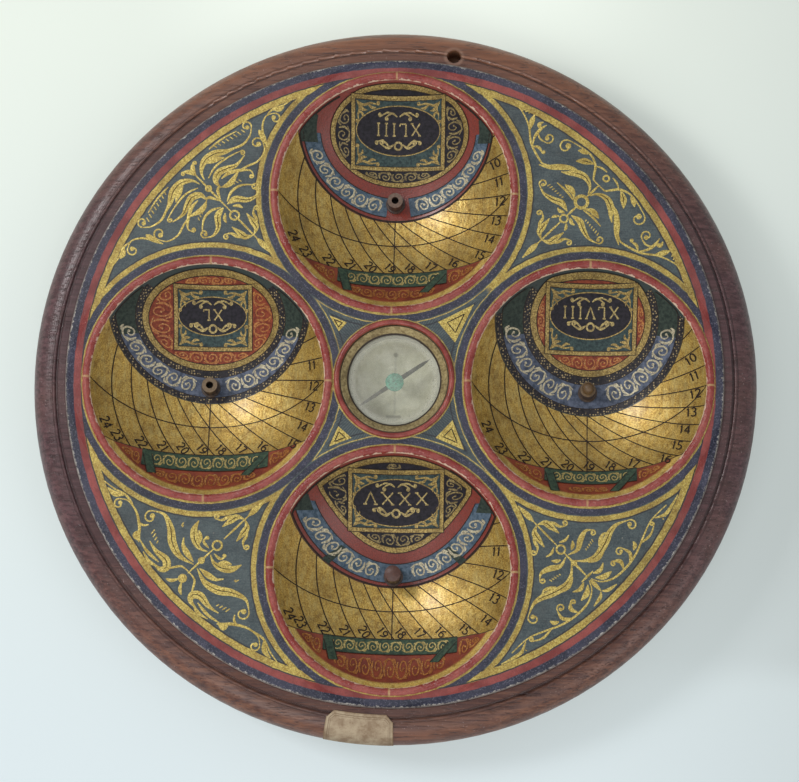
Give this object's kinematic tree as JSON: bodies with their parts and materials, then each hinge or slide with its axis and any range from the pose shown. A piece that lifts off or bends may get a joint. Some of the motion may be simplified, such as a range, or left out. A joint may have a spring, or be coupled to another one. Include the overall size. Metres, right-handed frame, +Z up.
{
  "type": "scaphe sundial",
  "caption": "Round turned wooden tray with gilt bowl dials for different latitudes, ruled with hour lines, round a small compass.",
  "frame": {"origin": "centre of the flat underside of the turned tray", "axes": "+Z up out of the painted face; +Y towards the bowl shown at the top of the picture; the bowls are read with north towards -Y"},
  "size_m": [0.2212, 0.2215, 0.025],
  "materials": {
    "walnut": "oiled, worn",
    "painted_face": "distemper on gesso, satin",
    "red_paint": "worn paint on gesso",
    "gilt_gesso": "gold leaf on gesso",
    "gilt_ring": "dull gilt",
    "old_brass": "tarnished",
    "verdigris": "verdigris",
    "blued_steel": "darkened",
    "card": "matte",
    "paper": "aged, matte",
    "pale_wood": "worn",
    "brown_wood": "worn",
    "glass": "old, a little cloudy"
  },
  "bodies": {
    "dial": {"turned_tray": "walnut", "painted_panel": "painted_face", "bowl_cup_top": "red_paint", "bowl_cup_left": "red_paint", "bowl_cup_right": "red_paint", "bowl_cup_bottom": "red_paint", "gilt_lining_top": "gilt_gesso", "gilt_lining_left": "gilt_gesso", "gilt_lining_right": "gilt_gesso", "gilt_lining_bottom": "gilt_gesso", "gnomon_foot_top": "brown_wood", "gnomon_foot_left": "brown_wood", "gnomon_foot_right": "brown_wood", "gnomon_foot_bottom": "brown_wood", "gnomon_pin_right": "pale_wood", "gnomon_pin_bottom": "brown_wood", "compass_cup": "old_brass", "compass_card": "card", "pivot_pin": "old_brass", "compass_glass": "glass", "glass_ring": "gilt_ring", "compass_bezel": "red_paint", "paper_label": "paper"},
    "needle": {"compass_needle": "blued_steel", "needle_cap": "verdigris"}
  },
  "joints": [
    {"name": "needle_spin", "type": "hinge", "parent": "dial", "child": "needle", "pos_m": [0, 0, 0.0172], "axis": [0, 0, 1], "continuous": true}
  ]
}
